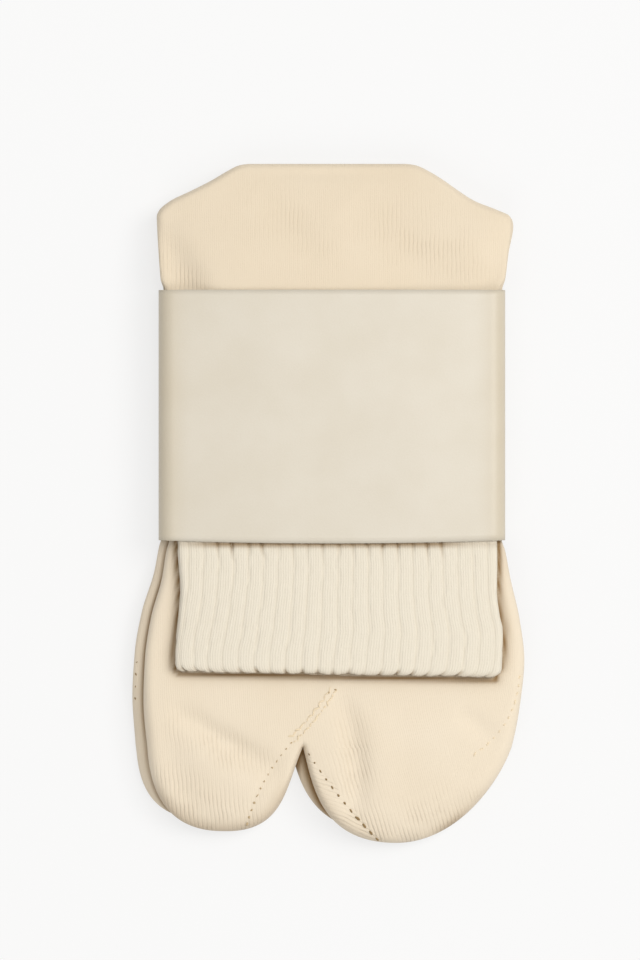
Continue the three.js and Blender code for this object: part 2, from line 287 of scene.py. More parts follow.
EDGE_ROUND = {
    "y": [-100, -80, -60, -20, 60, 66, 74, 84, 92, 100],
    "r": [5.5, 4.2, 3.0, 2.2, 2.4, 5.0, 4.5, 2.2, 1.7, 1.7],
}
EDGE_LINE = {False: 0.3, True: 0.5}  # lower sock or not: where the edge is, from its sole to its instep
FOLDING = 14.0  # how far from the corner the edges of foot and leg start to come together
HEEL_CLOSING = 8.0  # how far past the corner the heel's edge finds its own height
WEB_ROUND = 1.1
WEB_TIGHT = {"share": 0.6, "reach": 6}  # edges beside the slot between the toes are this much sharper
DOME_ROUND = 15.0
DOME_SHARE = 0.14
CROWN = {"fall": 0.09, "power": 2.5, "middle": 1.3, "half": 51.0}
LEAN = {"slope": 0.029, "about": 60.0, "length": 0.98, "heel": 99.3}

# Hollows (and, with a negative depth, ridges): from, to, sideways bow, width and depth
TOE_FORMS = [
    ((-47, -59), (-12, -80), -0.5, 3.4, 1.9),
    ((-44, -70), (-17, -87), -1.0, 4.2, -0.6),
    ((-50, -66), (-42, -93), 1.5, 5.5, 0.8),
    ((-50, -86), (-22, -97), -4.5, 4.2, 1.5),
    ((3.0, -54), (8, -95), 2.6, 3.4, 1.7),
    ((12, -58), (15, -92), 2.0, 5.0, -0.4),
    ((3, -51), (-8.5, -70), 0.8, 2.4, -0.3),
    ((37, -61), (51, -72), 1.0, 3.2, 1.0),
    ((24, -84), (42, -76), 4.0, 8.0, -0.3),
    ((-46, -80), (-30, -93), -2.0, 3.2, 0.5),
    ((20, -93), (34, -90), 0.6, 2.6, 0.35),
    ((26, -100), (42, -86), 0.6, 3.0, 1.5),
    ((-28, -52), (22, -53), 1.0, 4.0, 0.3),
]
HEEL_FORMS = [
    ((-53, 82), (-37, 56), 1.0, 7.5, 2.8),
    ((-44, 83), (-30, 58), -1.0, 4.0, -0.6),
    ((6, 88), (46, 64), -3.0, 8.0, 1.3),
    ((-22, 90), (-2, 70), 1.5, 5.0, 0.5),
    ((56, 84), (47, 54), 1.0, 6.0, 2.6),
    ((-26, 97), (-44, 86), -1.0, 3.5, -0.3),
    ((-24, 96.5), (24, 96.5), 0.3, 1.4, 0.35),
]
HIDDEN_FORMS = [
    ((-38, -63), (-15, -76), 2.0, 5.0, 0.7),
    ((8, -66), (14, -90), -2.0, 4.5, 0.6),
    ((30, -60), (46, -74), -3.0, 6.0, 0.4),
    ((-40, 76), (-12, 66), 2.0, 6.0, 0.5),
    ((10, 90), (40, 72), 3.0, 7.0, 0.5),
]
SEAMS = {  # ends, and sideways bow
    "big_toe": (((-10.6, -70.2), (-23.6, -94.2)), -1.6),
    "small_toes": (((-5.4, -73.6), (14.6, -98.7)), -0.8),
}
SEAM_GROOVE = {"width": 1.4, "depth": 0.3}
CUFF_PRESS = {"width": 1.1, "depth": 0.95}  # the mark that the cuff's edge presses into the instep


def run(table, name, at):
    """One column of a table at any place between its rows, on a smooth curve that never overshoots."""
    rows = np.array(table["y"], float)
    value = np.array(table[name], float)
    slope = np.diff(value) / np.diff(rows)
    product = slope[:-1] * slope[1:]
    total = slope[:-1] + slope[1:]
    inner = np.where(product > 0, 2 * product / np.where(product > 0, total, 1), 0)
    tangent = np.concatenate([slope[:1], inner, slope[-1:]])
    i = np.clip(np.searchsorted(rows, at, side="right") - 1, 0, len(rows) - 2)
    step = rows[i + 1] - rows[i]
    t = np.clip((at - rows[i]) / step, 0, 1)
    bend = tangent[i] * t * (1 - t) ** 2 - tangent[i + 1] * t * t * (1 - t)
    return value[i] * (1 + 2 * t) * (1 - t) ** 2 + value[i + 1] * t * t * (3 - 2 * t) + step * bend


def eased(low, high, value):
    """0 before low, 1 past high, and smooth between. The two may be in either order."""
    t = np.clip((value - low) / (high - low), 0, 1)
    return t * t * (3 - 2 * t)


def falling(away, reach):
    """1 at no distance, and falling off smoothly over about this reach."""
    return np.exp(-((away / reach) ** 2))


def bezier(points, t):
    """A curve from the first point to the last, pulled by the two between."""
    a, b, c, d = (np.array(p, float) for p in points)
    t = np.asarray(t)[:, None]
    return a * (1 - t) ** 3 + 3 * b * t * (1 - t) ** 2 + 3 * c * t * t * (1 - t) + d * t**3


def bowed(ends, bow, count=24):
    """Points from one end to the other, bowed sideways in the middle."""
    start, stop = (np.array(p, float) for p in ends)
    t = np.linspace(0, 1, count)[:, None]
    across = np.array((start[1] - stop[1], stop[0] - start[0])) / np.linalg.norm(stop - start)
    return start + (stop - start) * t + across * bow * 4 * t * (1 - t)


def nearest(place, line):
    """How far each place is from a line of points, and how far along the line that is, from 0 to 1."""
    best = np.full(place.shape[:-1], np.inf)
    along = np.zeros(place.shape[:-1])
    for i in range(len(line) - 1):
        step = line[i + 1] - line[i]
        length = max(step @ step, 1e-12)
        t = np.clip(((place - line[i]) @ step) / length, 0, 1)
        away = np.linalg.norm(place - line[i] - t[..., None] * step, axis=-1)
        closer = away < best
        best = np.where(closer, away, best)
        along = np.where(closer, (i + t) / (len(line) - 1), along)
    return best, along


def forms(place, table):
    """The sum of a table's hollows at each place. Each fades out towards its two ends."""
    total = np.zeros(place.shape[:-1])
    for start, stop, bow, width, depth in table:
        away, along = nearest(place, bowed((start, stop), bow, 12))
        total += depth * falling(away, width) * np.sin(math.pi * along) ** 0.8
    return total


def rounded(share):
    """The height of a quarter circle, at this share of its radius in from its edge."""
    return np.sqrt(1 - (1 - np.clip(share, 0, 1)) ** 2)


def shares(width, step, close=(0, 0.12, 0.36, 0.75, 1.3, 2.0, 2.9, 4.1, 5.4)):
    """Where the columns lie across a stretch, from 0 to 1: close together at both edges."""
    middle = np.linspace(close[-1], width - close[-1], round((width - 2 * close[-1]) / step) + 1)
    return np.concatenate([close[:-1], middle, [width - c for c in reversed(close[:-1])]]) / width


MESH_STEP = 1.15  # from one column of the mesh to the next, in the middle
BIG_COLUMNS = shares(46, MESH_STEP)
SMALL_COLUMNS = shares(61.4, MESH_STEP)
SPLIT_COLUMN = len(BIG_COLUMNS) - 1
HIDDEN_FROM = BAND_HIGH - 2  # the rows are far apart where the band covers them
HEEL_ROWS = np.concatenate([np.linspace(CORNER, 98, 24), [98.7, 99.2, 99.6, 99.85, HEEL_END]])
LEG_ROWS = np.concatenate([np.linspace(CORNER, HIDDEN_FROM, 30), np.linspace(55, LEG_END, 8)])
TOE_ROWS = 1 - (1 - np.linspace(0, 1, 32)) ** 1.35


def across(left, right, columns):
    """Straight rows of points from one line to the other."""
    return left[:, None] * (1 - columns)[None, :, None] + right[:, None] * columns[None, :, None]


def rings(table, rows, split):
    """The plan of rings across the whole tube, with the two toes' columns side by side."""
    left = np.stack([run(table, "left", rows), rows], -1)
    right = np.stack([run(table, "right", rows), rows], -1)
    web_left, web_right = run(OUTLINE, "left", split[1]), run(OUTLINE, "right", split[1])
    middle = left + (right - left) * (split[0] - web_left) / (web_right - web_left)
    return np.concatenate([across(left, middle, BIG_COLUMNS), across(middle, right, SMALL_COLUMNS)[:, 1:]], 1)


def plans(toes):
    """The plans of all the sheets of cloth of one sock, and the outlines that they close on."""
    split = np.array(toes["split"])
    toes_to_band, under_band = np.linspace(split[1], BAND_LOW, 66), np.linspace(-7, 57, 12)
    rows = np.concatenate([toes_to_band, under_band, np.linspace(HIDDEN_FROM, CORNER, 24)])
    foot = rings(OUTLINE, rows, split)
    heel = rings(OUTLINE, HEEL_ROWS, split)
    leg = rings({k: v + OUTLINE[k][HEEL_ROW:] for k, v in LEG_OUTLINE.items()}, LEG_ROWS, split)
    sheets = {"foot": foot, "heel": heel, "leg": leg}
    starts = {"big": (foot[0, 0], split), "small": (split, foot[0, -1])}
    for name, columns in (("big", BIG_COLUMNS), ("small", SMALL_COLUMNS)):
        left, right = (bezier((start, *rest), TOE_ROWS) for start, rest in zip(starts[name], toes[name]))
        sheets[name] = across(left, right, columns)
    sheets["big"][0] = foot[0, : SPLIT_COLUMN + 1]
    sheets["small"][0] = foot[0, SPLIT_COLUMN:]
    ring = [
        heel[::-1, 0], foot[::-1, 0][1:], sheets["big"][1:, 0], sheets["big"][::-1, -1][1:],
        sheets["small"][1:, 0], sheets["small"][::-1, -1][1:], foot[1:, -1], heel[1:, -1], heel[-1:, 0],
    ]
    leg_ring = [leg[::-1, 0], heel[1:, 0], heel[-1:, -1], heel[::-1, -1][1:], leg[1:, -1]]
    between = np.concatenate([sheets["big"][::-1, -1], sheets["small"][1:, 0]])
    return sheets, {"foot": np.concatenate(ring), "leg": np.concatenate(leg_ring), "between": between}, split


def placed(plan, lower):
    """From a sock's own plan to the pack's: the lower sock leans."""
    if not lower:
        return plan
    x = plan[..., 0] + LEAN["slope"] * (plan[..., 1] - LEAN["about"])
    y = LEAN["heel"] + LEAN["length"] * (plan[..., 1] - HEEL_END)
    return np.stack([x, y], -1)


SOCK_PLANS = {False: plans(UPPER_TOES), True: plans(LOWER_TOES)}
CUFF_ROWS = {"left": np.linspace(BAND_LOW, -49.8, 24), "right": np.linspace(-51.8, BAND_LOW, 24)}
BESIDE_CUFF = {"left": -0.3, "right": 0.3}
CUFF_EDGE = np.concatenate([
    np.stack([run(LEG_OUTLINE, side, rows) + BESIDE_CUFF[side], rows], -1) for side, rows in CUFF_ROWS.items()
])


def crown(x):
    """The whole pack is a little lower at its sides than in its middle."""
    return 1 - CROWN["fall"] * np.clip(np.abs(x - CROWN["middle"]) / CROWN["half"], 0, 1) ** CROWN["power"]


def seam_line(ends, bow, split):
    """A seam of the upper sock, or the same on a sock that is split elsewhere."""
    line = bowed(ends, bow)
    return line + (split - np.array(UPPER_TOES["split"])) * np.linspace(1, 0, len(line))[:, None]


LAYERS = ("sole", "instep", "front", "back")


def raised(plan, layer, lower):
    """Points of one layer's outer face over this plan, in the pack's frame, in millimetres."""
    _, outlines, split = SOCK_PLANS[lower]
    place = placed(plan, lower)
    x, y = place[..., 0], plan[..., 1]
    sole, instep, front, back = (run(LOWER if lower else UPPER, name, y) for name in LAYERS)
    face = (sole, instep, front, back)[LAYERS.index(layer)]
    line = EDGE_LINE[lower]
    folding = eased(CORNER - FOLDING, CORNER, y)
    if layer in ("sole", "instep"):
        edge = sole + (instep - sole) * (line + (1 - line) * folding)
    else:
        edge = front + (back - front) * line * (1 - folding)
    corner_sole, corner_fold, corner_back = (
        run(LOWER if lower else UPPER, name, np.array(CORNER)) for name in ("sole", "instep", "back")
    )
    at_corner = (corner_fold - corner_sole) / (corner_back - corner_sole)
    closing = eased(CORNER, CORNER + HEEL_CLOSING, y)
    heel_edge = sole + (back - sole) * (at_corner + (line - at_corner) * closing)
    edge = np.where(y >= CORNER, heel_edge, edge)
    away, _ = nearest(plan, outlines["foot" if layer in ("sole", "instep") else "leg"])
    sharper = 1 - WEB_TIGHT["share"] * falling(nearest(plan, outlines["between"])[0], WEB_TIGHT["reach"])
    close = rounded(away / (run(EDGE_ROUND, "r", y) * sharper))
    full = close * (1 - DOME_SHARE) + rounded(away / DOME_ROUND) * DOME_SHARE * close
    hollows = 0
    if layer == "instep":
        full = full * rounded(np.linalg.norm(plan - split, axis=-1) / WEB_ROUND)
        hollows = forms(plan, HIDDEN_FORMS if lower else TOE_FORMS)
        for seam in SEAMS.values():
            off = nearest(plan, seam_line(*seam, split))[0]
            hollows = hollows + SEAM_GROOVE["depth"] * falling(off, SEAM_GROOVE["width"])
        off = nearest(plan, CUFF_EDGE)[0]
        hollows = hollows + CUFF_PRESS["depth"] * falling(off, CUFF_PRESS["width"])
    elif layer == "back":
        hollows = forms(plan, HIDDEN_FORMS if lower else HEEL_FORMS)
    z = edge + (face - edge) * full - np.sign(face - edge) * hollows * full**2
    return np.stack([x + SHIFT, place[..., 1], np.maximum(z * crown(x), 0)], -1)


def lengths(grid, axis):
    """How far each point is along its row or column, on the cloth."""
    steps = np.linalg.norm(np.diff(grid, axis=axis), axis=-1)
    start = np.zeros_like(np.take(steps, [0], axis=axis))
    return np.cumsum(np.concatenate([start, steps], axis=axis), axis=axis)


def wales(plan, grid, middles):
    """The cloth's own measure: millimetres across the wales, which swing outwards in the toes, and along.

    Outside the two middle columns the wales also run down over the edge.
    """
    x, y = plan[..., 0], plan[..., 1]
    swing = SWING["big_toe"] + (SWING["small_toes"] - SWING["big_toe"]) * eased(-12, 5, x)
    down = np.maximum(SWING["from"] - y, 0)
    spare = lengths(grid, 1) - lengths(plan, 1)
    first, last = middles
    spare[:, :first] -= spare[:, first : first + 1]
    spare[:, last + 1 :] -= spare[:, last : last + 1]
    spare[:, first : last + 1] = 0
    u = x - swing * down * down / (down + SWING["over"]) + spare
    return np.stack([u, y], -1)


SWING = {"big_toe": 0.09, "small_toes": 0.3, "from": -50, "over": 12}
STRETCHED = {  # where the cloth is drawn tight over a form, and its wales open: rows like the hollows'
    "instep": [
        ((-50, -62), (-12, -82), 0, 4.5, 0.9),
        ((-56, -78), (-8, -104), -4, 9, 1.2),
        ((4, -56), (8, -100), 2, 5.0, 1.0),
        ((0, -102), (52, -86), -3, 7.5, 1.3),
    ],
    "back": [
        ((8, 84), (50, 68), 0, 8.0, 0.6),
        ((-24, 92), (6, 70), 0, 6.0, 0.4),
        ((-54, 76), (-36, 60), 0, 5.0, 0.6),
    ],
}

# The mark "close" is painted shade: it darkens the cloth's colour in creases and under edges that lie on it
MARKS = ("stretched", "panel", "close", "tip")
WELD = 2e-7  # metres


class Cloth:
    """Gathers sheets of points into one mesh, with the cloth's own measure as its UV map."""

    def __init__(self):
        self.points, self.faces, self.measures, self.marks = [], [], [], []
        self.count = 0

    def add(self, grid, measure, facing=None, marks=None):
        """Adds a sheet that faces up (1) or down (-1), or with no facing, away from its own middle."""
        rows, columns = grid.shape[:2]
        index = np.arange(rows * columns).reshape(rows, columns) + self.count
        quads = np.stack([index[:-1, :-1], index[:-1, 1:], index[1:, 1:], index[1:, :-1]], -1).reshape(-1, 4)
        normal = np.cross(grid[:-1, 1:] - grid[:-1, :-1], grid[1:, :-1] - grid[:-1, :-1])
        outward = (grid - grid.mean((0, 1)))[:-1, :-1] if facing is None else np.array((0, 0, facing))
        if (normal * outward).sum() < 0:
            quads = quads[:, ::-1]
        self.points.append(grid.reshape(-1, 3) * MM)
        self.measures.append(measure.reshape(-1, 2))
        none = np.zeros((rows * columns, len(MARKS)))
        self.marks.append(none if marks is None else marks.reshape(none.shape))
        self.faces.append(quads)
        self.count += rows * columns

    def finished(self, name, finish):
        mesh = bpy.data.meshes.new(name)
        faces = np.concatenate(self.faces)
        mesh.from_pydata(np.concatenate(self.points), [], faces.tolist())
        measure = mesh.uv_layers.new(name="measure")
        measure.data.foreach_set("uv", np.concatenate(self.measures)[faces.ravel()].astype("f").ravel())
        marks = np.concatenate(self.marks)
        for column, mark in enumerate(MARKS):
            layer = mesh.attributes.new(mark, "FLOAT", "POINT")
            layer.data.foreach_set("value", marks[:, column].astype("f"))
        welded = bmesh.new()
        welded.from_mesh(mesh)
        bmesh.ops.remove_doubles(welded, verts=welded.verts, dist=WELD)
        bmesh.ops.recalc_face_normals(welded, faces=welded.faces)
        if welded.calc_volume(signed=True) < 0:
            bmesh.ops.reverse_faces(welded, faces=welded.faces)
        welded.to_mesh(mesh)
        welded.free()
        mesh.polygons.foreach_set("use_smooth", [True] * len(mesh.polygons))
        mesh.materials.append(finish.material)
        return shown(name, mesh)


# The brown colour of the painted shade in creases and under edges
PAINTED_SHADE_TONE = colour(124, 92, 44)
PANEL_TURN = (0.5, 0.88)  # sine and cosine: how the wales lie on the panel beside the small toes' seam
V_LEAN = 1.7  # how much a stitch's two legs lean, in stitches for each half of a column


def v_stitches(off, along):
    """The height of one column of V stitches, from the place off its middle and the place along it."""
    strand = 1 - (abs(off - 0.25) * 4) ** 2.0
    turn = (along / COURSE + off * V_LEAN).wrapped()
    stitch = 1 - (abs(turn - 0.5) * 2) ** 2.0
    return strand * (0.75 + stitch * 0.25)


def knit(name, light, dark):
    """Plain knit: columns of V stitches. The UV map gives the place on the cloth in millimetres."""
    made = Finish(name, Roughness=0.9, Sheen_Weight=0.12, Sheen_Roughness=0.5, Specular_IOR_Level=0.2)
    measure = made.measure()
    stretched = made.mark("stretched")
    panel = made.mark("panel")
    x, y = measure.axis(0), measure.axis(1)
    wander = (made.noise(measure, 6.0) - 0.5) * 0.7

    def columns(across_wales, along_wales):
        off = abs((across_wales / WALE + wander).wrapped() - 0.5)
        return v_stitches(off, along_wales), off.eased(0.1, 0.5)

    along_foot = columns(x, y)
    round_toe = columns(x * PANEL_TURN[0] + y * PANEL_TURN[1], x * PANEL_TURN[1] - y * PANEL_TURN[0])
    strands, groove = (first + (second - first) * panel for first, second in zip(along_foot, round_toe))
    patches = made.noise(measure, 7.0).eased(0.38, 0.62)
    open_wales = stretched * (0.28 + patches * 0.56) + patches * 0.06
    tip = made.mark("tip")
    height = (strands * 0.16 - groove * open_wales) * (1 - tip)
    fuzz = made.noise(measure, 0.4, 3.0) * (1 - tip) + tip * 0.5
    broad = made.noise(measure, 26.0)
    # Painted shade: the tone is darker towards the heel end
    heel = y.eased(30, 66)
    tone = 0.37 + height * 0.22 + fuzz * 0.2 + broad * 0.3 - heel * 0.2
    # Painted shade: the mark "close" darkens the colour towards the shade tone
    close = made.mark("close")
    made.feed("Base Color", made.blend(close, made.blend(tone, dark, light), PAINTED_SHADE_TONE))
    made.raise_by(height + fuzz * 0.22, 0.0002)
    return made


# Painted shade along lines where cloth meets cloth: how dark, and how far it reaches
SHADE_UNDER_SOCK = {"line": 0.66, "reach": 0.7, "halo": 0.1, "halo_reach": 3.5}
SHADE_IN_SLOT = {"line": 0.2, "reach": 1.1}  # more than the line above, in the slot between the toes
SHADE_UNDER_CUFF = {"line": 0.8, "reach": 0.75, "halo": 0.16, "halo_reach": 2.4}
# Painted shade along the upper toes' rims
TOE_RIM_SHADE = {"small_toes": 0.14, "big_toe": 0.18, "reach": 2.8}
# Painted shade of a pucker at the small toes' rim: how dark, where, and how far it reaches
PUCKER_SHADE = {"depth": 0.4, "x": 36.5, "half": 4, "reach": 1.6, "below": -80}


def painted_shade(plan, layer, lower):
    """Painted shade: 1 where the cloth lies hard against the edge of the cloth above it, falling to 0 in the
    open, and a little along the upper toes' rims.
    """
    x, y = plan[..., 0], plan[..., 1]
    rim_above = SOCK_PLANS[False][1]["foot"]
    if lower and layer == "sole":
        off = nearest(placed(plan, True), rim_above)[0]
        slot = eased(-16, -9, x) * eased(7, 1, x)
        line = SHADE_UNDER_SOCK["line"] + SHADE_IN_SLOT["line"] * slot
        line = line * falling(off, SHADE_UNDER_SOCK["reach"] + SHADE_IN_SLOT["reach"] * slot)
        return (line + SHADE_UNDER_SOCK["halo"] * falling(off, SHADE_UNDER_SOCK["halo_reach"])) * eased(30, 0, y)
    if not lower and layer == "instep":
        off, rim = nearest(plan, CUFF_EDGE)[0], nearest(plan, rim_above)[0]
        toe = TOE_RIM_SHADE["small_toes"] + TOE_RIM_SHADE["big_toe"] * eased(10, -20, x)
        toe = toe * falling(rim, TOE_RIM_SHADE["reach"]) * eased(-78, -88, y)
        pucker = PUCKER_SHADE["depth"] * falling(x - PUCKER_SHADE["x"], PUCKER_SHADE["half"]) * falling(rim, PUCKER_SHADE["reach"])
        line = SHADE_UNDER_CUFF["line"] * falling(off, SHADE_UNDER_CUFF["reach"])
        halo = SHADE_UNDER_CUFF["halo"] * falling(off, SHADE_UNDER_CUFF["halo_reach"])
        return line + halo + toe + pucker * (y < PUCKER_SHADE["below"])
    return np.zeros(plan.shape[:-1])


PLAIN = knit("plain_knit", colour(226, 215, 197), colour(205, 188, 161))

SHEETS = (
    ("foot", "instep"), ("foot", "sole"), ("heel", "sole"), ("heel", "back"), ("leg", "front"),
    ("leg", "back"), ("big", "instep"), ("big", "sole"), ("small", "instep"), ("small", "sole"),
)
TIP_REACH = 2.6  # the columns run together within this distance of a toe's tip
PANEL_STRETCH = 0.7


def sock(name, lower):
    """Foot, toes, heel and folded leg of one sock, as one thin shell, open at the leg's end."""
    cloth = Cloth()
    sheets = SOCK_PLANS[lower][0]
    for part, layer in SHEETS:
        plan = sheets[part]
        grid = raised(plan, layer, lower)
        first, last = SPLIT_COLUMN // 2, SPLIT_COLUMN + len(SMALL_COLUMNS) // 2
        middles = {"big": (first, first), "small": (last - SPLIT_COLUMN,) * 2}.get(part, (first, last))
        tight = np.clip(forms(plan, STRETCHED.get(layer, [])), 0, 1)
        panel = np.zeros_like(tight)
        if layer == "instep":
            seam = bowed(*SEAMS["small_toes"], 2)
            along = seam[1] - seam[0]
            side = (plan[..., 0] - seam[0, 0]) * along[1] - (plan[..., 1] - seam[0, 1]) * along[0]
            panel = 1.0 * (side > 0) * (part == "small")
            tight = np.maximum(tight, panel * PANEL_STRETCH)
        facing = (1 if layer in ("instep", "back") else -1) * (-1 if lower else 1)
        away = np.minimum(*(np.hypot(*np.moveaxis(plan - end, -1, 0)) for end in (BIG_TIP, SMALL_TIP)))
        marks = np.stack([tight, panel, painted_shade(plan, layer, lower), falling(away, TIP_REACH)], -1)
        cloth.add(grid, wales(plan, grid, middles), facing, marks)
    made = cloth.finished(name, PLAIN)
    wall = made.modifiers.new("wall", "SOLIDIFY")
    wall.thickness = WALL * MM
    wall.offset = -1
    wall.thickness_clamp = THINNED
    return made


for side, lower, rests in (("left", False, "right_sock_cloth"), ("right", True, "floor")):
    made = sock(side + "_sock_cloth", lower)
    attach(made, "root")
    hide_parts(side + "_sock")

# ---------------------------------------------------------------- the two cuffs
# Two-by-two rib, knitted on to the leg and cast off loosely. The ribs draw together, so that each shows as
# one flat ridge between narrow grooves. The under layer ends a little lower than the one on top of it.

RIBS = 44  # round the cuff
CUFF_WALL = 1.3
CUFF_END = LEG_OUTLINE["y"][0]
CUFF_START = LEG_END - 0.4
CUFF_LEFT = -44.5
CUFF_WIDTH = 96
CUFF_COLUMNS = 352
CUFF_EDGE_ROUND = 1.7
INNER_ROUND = 0.5
LIP_STEPS = 7
CUFF_SLOPE = -0.018  # of the end edge, from left to right
UNDER_LONGER = 0.35
FLARE = {"left": -4.0, "right": 1.5}  # how far the ribs lean outwards on their way to the end
GROOVE = {"depth": 0.32, "half": 0.4, "at_band": 2.0, "at_end": 0.9, "end_reach": 1.2, "inside": 0.4}
BAND_SQUEEZE = {"reach": 3.2, "half": 36}  # the band draws the ribs together, but not at the sides
# The grooves step sideways now and then: how far apart, where a step starts, how far it goes, how much deeper
JOG = {"every": 4.2, "from": 0.55, "reach": 0.4, "depth": 0.35}
CAST_OFF = {"roll": 0.2, "roll_at": 1.8, "roll_reach": 1.3, "notch": 0.6, "notch_half": 0.6, "uneven": 0.15}
END_ZONE = 4.0  # how far from the end the cast-off pulls at the cloth
SIDE_ZONE = 3.0
# Painted shade: under the band's edge, in the grooves there, at the end, inside, and on the under layer
CUFF_PAINTED_SHADE = {
    "band": 0.8, "band_at": 0.7, "band_reach": 0.9, "sides": 0.3, "squeezed": 0.6,
    "end": 0.2, "end_groove": 0.6, "end_reach": 0.9, "inside": 0.25, "under": 0.15, "most": 0.85,
}
RIB_SEED = 5
# Which of a rib's chances set the place of its first step, and how its two ends differ
PHASE, AT_END, AT_NOTCH, AT_BAND = 0, 9, 10, 11


def cuff_ring(y, inset, lower):
    """The flattened tube's section at y: once round, from the left edge over the top and back under."""
    even = np.linspace(0, 1, CUFF_COLUMNS // 2 + 1)
    t = even * 0.88 + (1 - np.cos(even * math.pi)) / 2 * 0.12
    left = run(LEG_OUTLINE, "left", y) + inset
    right = run(LEG_OUTLINE, "right", y) - inset
    heights = LOWER if lower else UPPER
    front, back = run(heights, "front", y), run(heights, "back", y)
    middle, half = (front + back) / 2, (back - front) / 2
    x = left + (right - left) * t
    away = np.minimum(x - left, right - x)
    lift = (half - np.sign(half) * inset) * rounded(away / max(CUFF_EDGE_ROUND - inset, INNER_ROUND))
    return np.concatenate([np.stack([x, middle + lift], -1), np.stack([x, middle - lift], -1)[-2:0:-1]])


def cuff_path():
    """The rings' places, and how far each is inside the outer face: down the outside, back up inside."""
    lip = CUFF_WALL / 2
    bottom = CUFF_END + lip
    hidden = np.linspace(CUFF_START, BAND_LOW, 7)[:-1]
    outside = np.concatenate([hidden, np.linspace(BAND_LOW, bottom, 56)])
    inside = np.concatenate([np.linspace(bottom, BAND_LOW, 14), [-2, CUFF_START]])
    turn = np.linspace(0, math.pi, LIP_STEPS + 2)[1:-1]
    path = [(y, 0.0) for y in outside]
    path += [(bottom - lip * math.sin(a), lip * (1 - math.cos(a))) for a in turn]
    return path + [(y, CUFF_WALL) for y in inside]


def cuff(name, lower):
    """Rows of rings along the cuff's path, each drawn in at the grooves between its ribs."""
    jog = np.random.default_rng(RIB_SEED + lower).uniform(-1, 1, (12, RIBS))
    most_steps = 9
    grid, measure, marks = [], [], []
    for y, inset in cuff_path():
        ring = cuff_ring(max(y, CUFF_END), inset, lower)
        closed = np.concatenate([ring, ring[:1]])
        reach = np.concatenate([[0], np.cumsum(np.linalg.norm(np.diff(closed, axis=0), axis=1))])
        pitch = reach[-1] / RIBS
        down = eased(0, 1, (BAND_LOW - y) / (BAND_LOW - CUFF_END))
        sideways = np.clip((ring[:, 0] - CUFF_LEFT) / CUFF_WIDTH, 0, 1)
        flare = (FLARE["left"] + (FLARE["right"] - FLARE["left"]) * sideways) * down
        over = np.arange(len(ring)) <= CUFF_COLUMNS // 2
        u = reach[:-1] - np.where(over, flare, -flare) * np.sin(math.pi * sideways) ** 0.25

        # The nearest groove to each point, with its jogs
        rib = np.round(u / pitch).astype(int)
        k = rib % RIBS
        step = max(BAND_LOW - y, 0) / JOG["every"] + 0.5 * jog[PHASE, k]
        low_step = np.clip(np.floor(step), 0, most_steps).astype(int)
        rest = eased(JOG["from"], 1.0, step - low_step)
        wander = jog[low_step + 1, k] * (1 - rest) + jog[low_step + 2, k] * rest
        off = u - rib * pitch - JOG["reach"] * wander
        groove = falling(off, GROOVE["half"])

        # How deep it is, deepest under the band and at the end
        at_band, at_notch = (0.5 + 0.5 * jog[row, k] for row in (AT_BAND, AT_NOTCH))
        squeeze = falling(y - BAND_LOW, BAND_SQUEEZE["reach"]) * at_band
        squeeze = squeeze * (np.abs(ring[:, 0]) < BAND_SQUEEZE["half"])
        deep = GROOVE["depth"] * (1 + JOG["depth"] * wander) + (GROOVE["at_band"] - GROOVE["depth"]) * squeeze
        deep = deep + GROOVE["at_end"] * falling(y - CUFF_END, GROOVE["end_reach"]) * at_notch
        sink = groove * deep * (1 - GROOVE["inside"] * inset / CUFF_WALL)
        roll = falling(y - CUFF_END - CAST_OFF["roll_at"], CAST_OFF["roll_reach"]) * (inset < CUFF_WALL / 2)
        tangent = np.roll(ring, -1, 0) - np.roll(ring, 1, 0)
        tangent /= np.linalg.norm(tangent, axis=1)[:, None]
        outward = np.stack([-tangent[:, 1], tangent[:, 0]], -1) * (-1 if lower else 1)
        moved = ring + outward * (CAST_OFF["roll"] * roll - sink)[:, None]

        # The end edge: notched at the grooves, and a little lower on the under layer
        near_end = 1 - eased(0, END_ZONE, y - CUFF_END)
        notch = CAST_OFF["notch"] * falling(off, CAST_OFF["notch_half"]) * (0.6 + 0.4 * jog[AT_NOTCH, k])
        from_side = eased(0, SIDE_ZONE, np.minimum(sideways, 1 - sideways) * CUFF_WIDTH)
        pulled = notch + CAST_OFF["uneven"] * jog[AT_END, k] - UNDER_LONGER * (~over) * from_side
        plan = np.stack([moved[:, 0], y + CUFF_SLOPE * ring[:, 0] * down + pulled * near_end], -1)
        place = placed(plan, lower)
        z = np.maximum(moved[:, 1] * crown(ring[:, 0]), 0)
        points = np.stack([place[:, 0] + SHIFT, place[:, 1], z], -1)
        grid.append(np.concatenate([points, points[:1]]))
        across_ribs = np.concatenate([u / pitch, [u[0] / pitch + RIBS]])
        measure.append(np.stack([across_ribs, np.full(len(across_ribs), y - 2 * inset)], -1))

        # Painted shade, carried in the mark "close": under the band's edge, in its squeezed grooves, at the
        # end and its grooves, inside, and on the under layer
        dark = CUFF_PAINTED_SHADE
        middle = dark["sides"] + (1 - dark["sides"]) * (1 - eased(30, 44, np.abs(ring[:, 0])))
        close = dark["band"] * falling(y - BAND_LOW + dark["band_at"], dark["band_reach"]) * middle
        close = close + dark["squeezed"] * squeeze * groove
        at_end = dark["end"] + dark["end_groove"] * groove * at_notch
        close = close + falling(y - CUFF_END, dark["end_reach"]) * at_end
        close = close + dark["inside"] * eased(0.1, 1, inset / CUFF_WALL) + dark["under"] * (~over) * near_end
        mark = np.zeros((len(close) + 1, len(MARKS)))
        mark[:, MARKS.index("close")] = np.clip(np.append(close, close[0]), 0, dark["most"])
        marks.append(mark)
    for rows in (grid, measure, marks):
        rows.append(rows[0])
    cloth = Cloth()
    cloth.add(np.array(grid), np.array(measure), marks=np.array(marks))
    return cloth.finished(name, RIB)


